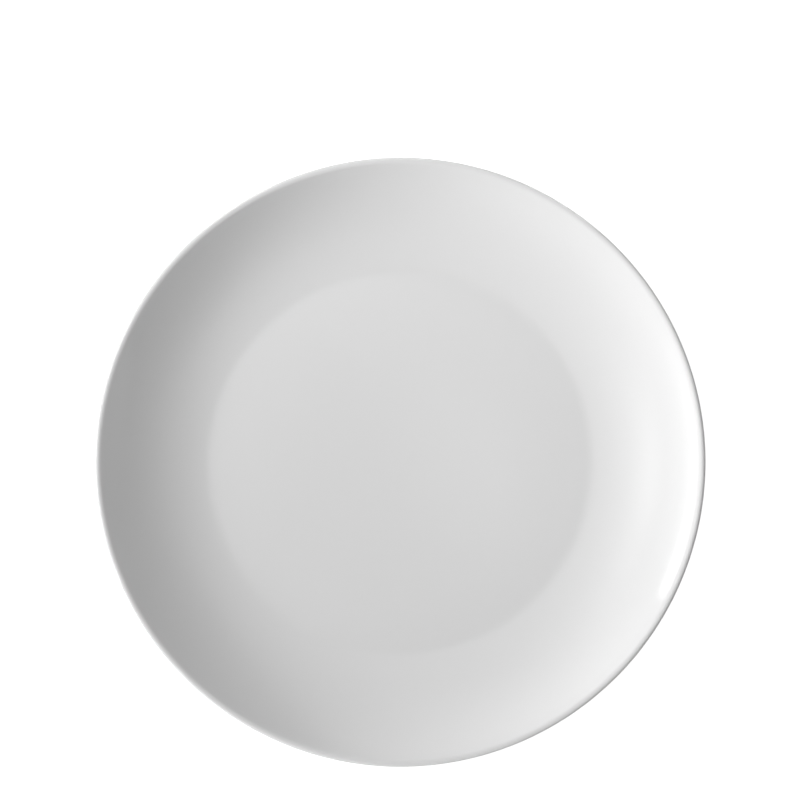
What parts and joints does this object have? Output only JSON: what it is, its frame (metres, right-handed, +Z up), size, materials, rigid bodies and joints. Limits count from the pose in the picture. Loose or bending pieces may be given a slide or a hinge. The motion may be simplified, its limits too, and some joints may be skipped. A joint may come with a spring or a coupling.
{
  "type": "coupe dinner plate",
  "caption": "Round white porcelain dinner plate with a shallow curved wall that rises from a flat well to a thin round lip, on a low foot ring.",
  "frame": {"origin": "middle of the plate, on the plane that its foot ring stands on", "axes": "+Z up along the axis of revolution, out of the food side; +X and +Y are any two square directions, as the plate is round"},
  "size_m": [0.27, 0.27, 0.0239],
  "materials": {
    "porcelain": "matte",
    "glaze": "gloss"
  },
  "bodies": {
    "root": {"porcelain_body": "porcelain", "glaze_coat": "glaze", "recess_glaze": "glaze"}
  },
  "joints": []
}
